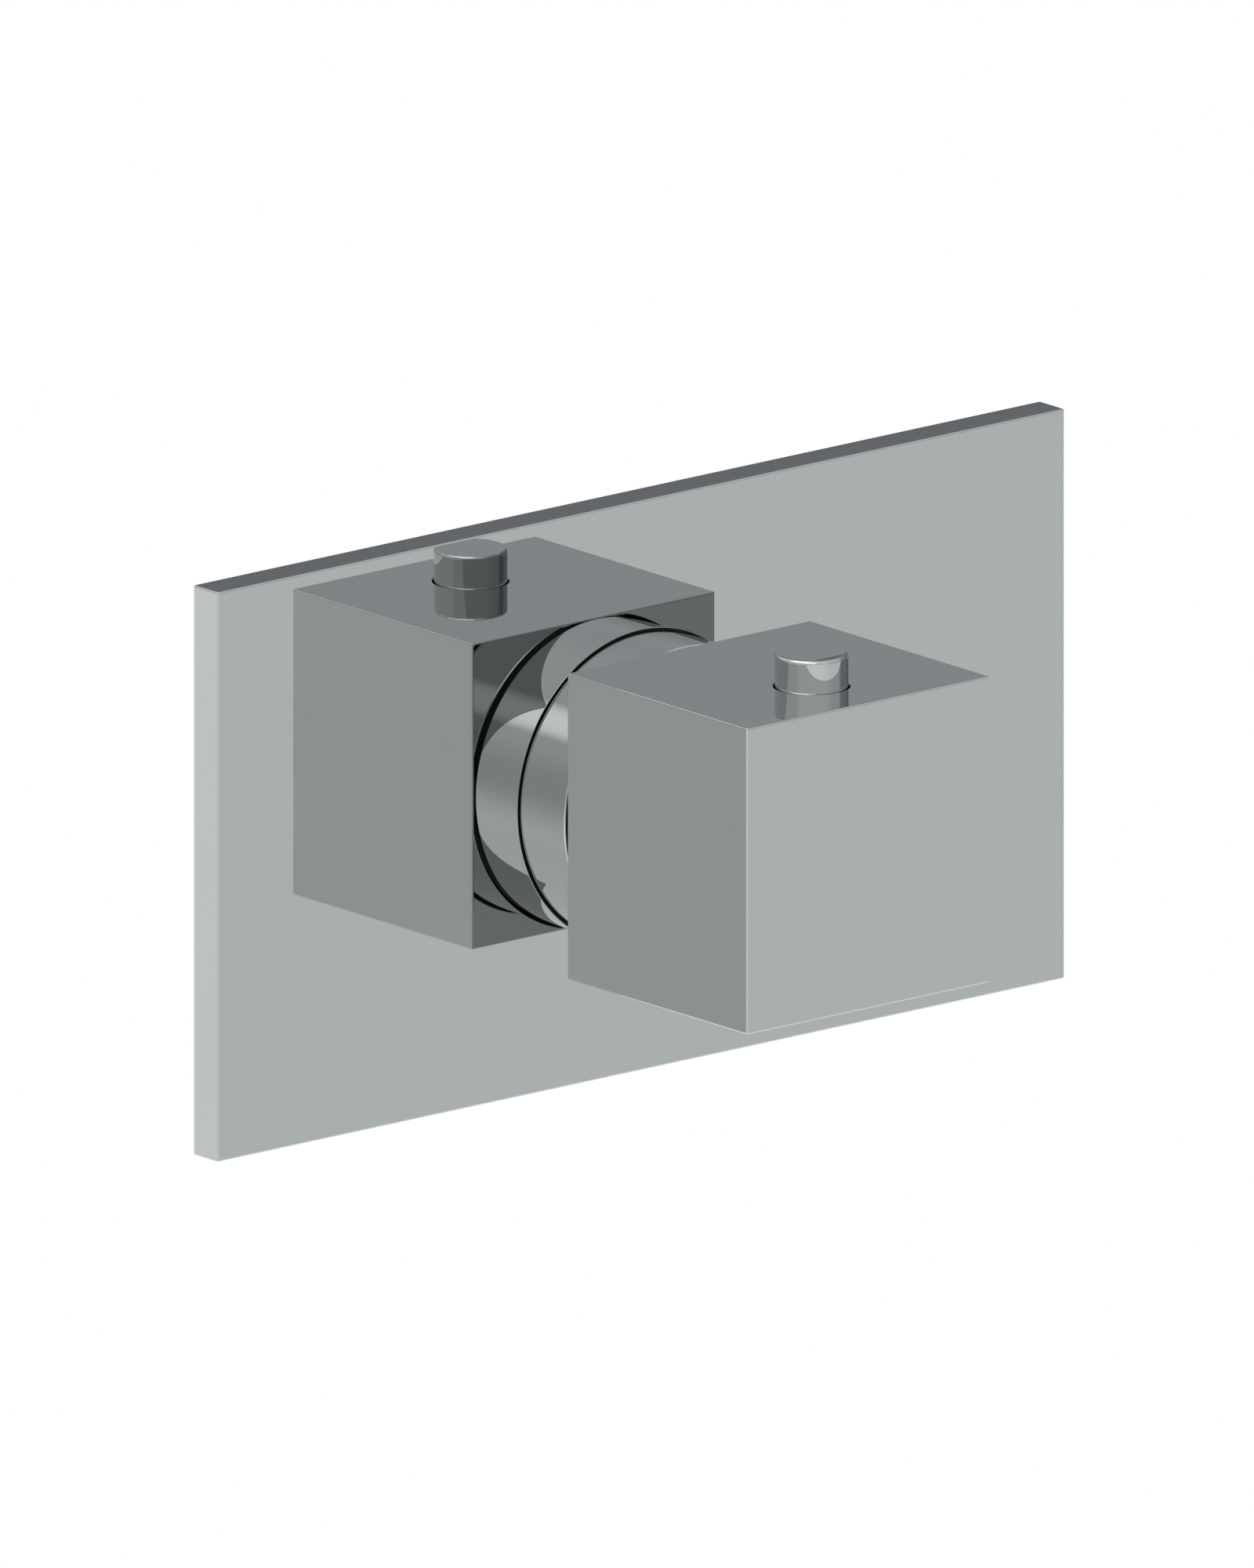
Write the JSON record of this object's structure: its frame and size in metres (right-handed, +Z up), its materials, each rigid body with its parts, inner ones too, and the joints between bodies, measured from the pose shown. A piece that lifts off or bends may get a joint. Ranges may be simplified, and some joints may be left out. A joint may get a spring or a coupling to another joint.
{
  "type": "concealed thermostatic shower valve",
  "caption": "Concealed thermostatic shower valve: brass body with service stops and a thermostatic cartridge, behind a flat chrome plate with a cube temperature knob.",
  "frame": {"origin": "the knob's axis where it meets the finished wall, in the plane of the cover plate's back", "axes": "+Y into the wall along the knob's axis, +Z up, +X to the right as seen by the user, so the hot inlet is at -X"},
  "size_m": [0.15, 0.099, 0.081],
  "materials": {
    "chrome": "polished chromium plate on brass",
    "cast_brass": "cast brass with machined faces",
    "machined_brass": "turned brass",
    "steel": "stainless steel",
    "copper": "copper case of the thermostatic element",
    "black_plastic": "black acetal",
    "white_plastic": "off-white engineering plastic",
    "seal_rubber": "black nitrile rubber",
    "foam": "closed-cell foam"
  },
  "bodies": {
    "valve": {"wall_plate": "chrome", "plate_gasket": "foam", "plate_seal": "seal_rubber", "collar": "chrome", "collar_o_ring": "seal_rubber", "stop_ring": "black_plastic", "cartridge_nut": "machined_brass", "cartridge_housing": "white_plastic", "cartridge_o_rings": "seal_rubber", "cold_screen": "steel", "hot_screen": "steel", "return_spring": "steel", "cartridge_end": "machined_brass", "valve_body": "cast_brass", "blanking_plug": "machined_brass", "plug_washer": "seal_rubber", "stop_glands": "machined_brass", "stop_o_rings": "seal_rubber", "hot_check_body": "white_plastic", "cold_check_body": "white_plastic", "check_o_rings": "seal_rubber", "hot_check_spring": "steel", "cold_check_spring": "steel", "hot_filter": "steel", "cold_filter": "steel"},
    "knob": {"knob": "chrome", "glide_ring": "black_plastic", "knob_insert": "black_plastic", "knob_screw": "steel", "button_spring": "steel", "spindle": "machined_brass", "spindle_o_rings": "seal_rubber", "spindle_clip": "steel"},
    "button": {"button": "chrome", "stop_catch": "steel"},
    "carriage": {"regulating_screw": "machined_brass", "overload_spring": "steel", "overload_clip": "steel"},
    "overload": {"piston_seat": "steel", "wax_piston": "steel"},
    "thermostat": {"wax_element": "copper", "shuttle": "white_plastic", "shuttle_o_ring": "seal_rubber"},
    "hot_service_stop": {"hot_stop": "machined_brass"},
    "cold_service_stop": {"cold_stop": "machined_brass"},
    "hot_check_disc": {"hot_poppet": "black_plastic"},
    "cold_check_disc": {"cold_poppet": "black_plastic"}
  },
  "joints": [
    {"name": "knob_turn", "type": "hinge", "parent": "valve", "child": "knob", "pos_m": [0, 0, 0], "axis": [0, -1, 0], "range_deg": [-150, 50]},
    {"name": "button_press", "type": "slide", "parent": "knob", "child": "button", "axis": [0, 0, -1], "range_m": [0, 0.0025], "stiffness_N_per_m": 300, "springref_m": -0.003, "deforming": ["button_spring"]},
    {"name": "carriage_slide", "type": "slide", "parent": "valve", "child": "carriage", "axis": [0, -1, 0], "range_m": [-0.00126, 0.00042], "deforming": ["return_spring"]},
    {"name": "overload_slide", "type": "slide", "parent": "carriage", "child": "overload", "axis": [0, -1, 0], "range_m": [0, 0.0005], "stiffness_N_per_m": 2000, "springref_m": -0.001, "deforming": ["overload_spring", "return_spring"]},
    {"name": "wax_travel", "type": "slide", "parent": "overload", "child": "thermostat", "axis": [0, 1, 0], "range_m": [-0.0001, 0.0001], "stiffness_N_per_m": 1000, "deforming": ["return_spring"]},
    {"name": "hot_stop_turn", "type": "hinge", "parent": "valve", "child": "hot_service_stop", "pos_m": [-0.024, 0.018, 0], "axis": [0, -1, 0], "range_deg": [0, 90]},
    {"name": "cold_stop_turn", "type": "hinge", "parent": "valve", "child": "cold_service_stop", "pos_m": [0.024, 0.018, 0], "axis": [0, -1, 0], "range_deg": [-90, 0]},
    {"name": "hot_check_lift", "type": "slide", "parent": "valve", "child": "hot_check_disc", "axis": [1, 0, 0], "range_m": [0, 0.0015], "stiffness_N_per_m": 120, "springref_m": -0.001, "deforming": ["hot_check_spring"]},
    {"name": "cold_check_lift", "type": "slide", "parent": "valve", "child": "cold_check_disc", "axis": [-1, 0, 0], "range_m": [0, 0.0015], "stiffness_N_per_m": 120, "springref_m": -0.001, "deforming": ["cold_check_spring"]}
  ],
  "couplings": [
    {"joint": "carriage_slide", "follows": "knob_turn", "m_per_rad": 0.00047746}
  ]
}
